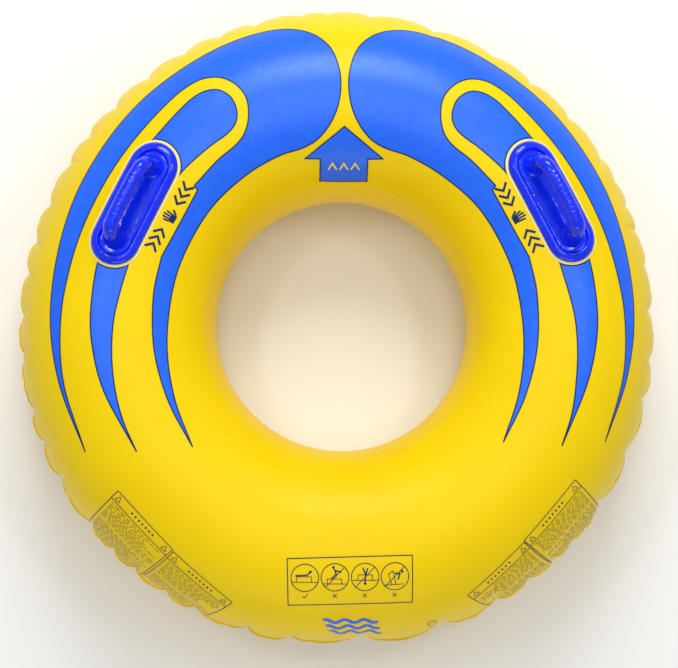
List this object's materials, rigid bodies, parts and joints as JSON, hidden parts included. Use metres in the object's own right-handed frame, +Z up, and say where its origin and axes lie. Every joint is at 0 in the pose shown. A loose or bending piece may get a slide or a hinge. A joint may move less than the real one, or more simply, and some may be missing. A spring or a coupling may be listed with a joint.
{
  "type": "inflatable ride ring",
  "caption": "Inflatable vinyl ring for one rider, with two moulded crown handles and a screw-in filling valve with a tethered cap underneath.",
  "frame": {"origin": "centre of the ring, on the level surface that it lies on", "axes": "+Z up; +Y towards the front, between the two handles; +X towards the right handle"},
  "size_m": [1.22, 1.22, 0.4367],
  "materials": {
    "yellow_vinyl": "satin printed PVC sheet",
    "blue_print": "satin ink printed on the vinyl",
    "navy_print": "satin ink printed on the vinyl",
    "handle_vinyl": "glossy moulded soft PVC",
    "valve_plastic": "satin moulded plastic",
    "seal_rubber": "matt moulded rubber"
  },
  "bodies": {
    "ring": {"upper_skin": "yellow_vinyl", "lower_skin": "yellow_vinyl", "inner_wall": "yellow_vinyl", "left_handle_patch": "yellow_vinyl", "left_handle_base": "handle_vinyl", "left_handle_grip": "handle_vinyl", "right_handle_patch": "yellow_vinyl", "right_handle_base": "handle_vinyl", "right_handle_grip": "handle_vinyl", "valve_patch": "yellow_vinyl", "valve_base": "valve_plastic"},
    "gasket": {"valve_gasket": "seal_rubber"},
    "insert": {"valve_insert": "valve_plastic", "tether_collar": "valve_plastic", "tether_strap": "valve_plastic"},
    "flap": {"valve_flap": "seal_rubber"},
    "cap_ring": {"tether_cap_ring": "valve_plastic"},
    "cap": {"valve_cap": "valve_plastic", "cap_seal": "seal_rubber"}
  },
  "joints": [
    {"name": "insert_lift", "type": "slide", "parent": "ring", "child": "gasket", "axis": [0, -0.8192, -0.5736], "range_m": [0, 0.0092]},
    {"name": "insert_turn", "type": "hinge", "parent": "gasket", "child": "insert", "pos_m": [0, -0.5709, 0.07404], "axis": [0, -0.8192, -0.5736], "range_deg": [0, 1080]},
    {"name": "flap_open", "type": "slide", "parent": "insert", "child": "flap", "axis": [0, 0.8192, 0.5736], "range_m": [0, 0.003], "stiffness_N_per_m": 60, "springref_m": -0.001},
    {"name": "cap_lift", "type": "slide", "parent": "insert", "child": "cap_ring", "axis": [0, -0.8192, -0.5736], "range_m": [0, 0.0092], "deforming": ["tether_strap"]},
    {"name": "cap_turn", "type": "hinge", "parent": "cap_ring", "child": "cap", "pos_m": [0, -0.5709, 0.07404], "axis": [0, -0.8192, -0.5736], "range_deg": [0, 1080]}
  ],
  "couplings": [
    {"joint": "insert_lift", "follows": "insert_turn", "m_per_rad": 0.00047746},
    {"joint": "cap_lift", "follows": "cap_turn", "m_per_rad": 0.00047746}
  ]
}
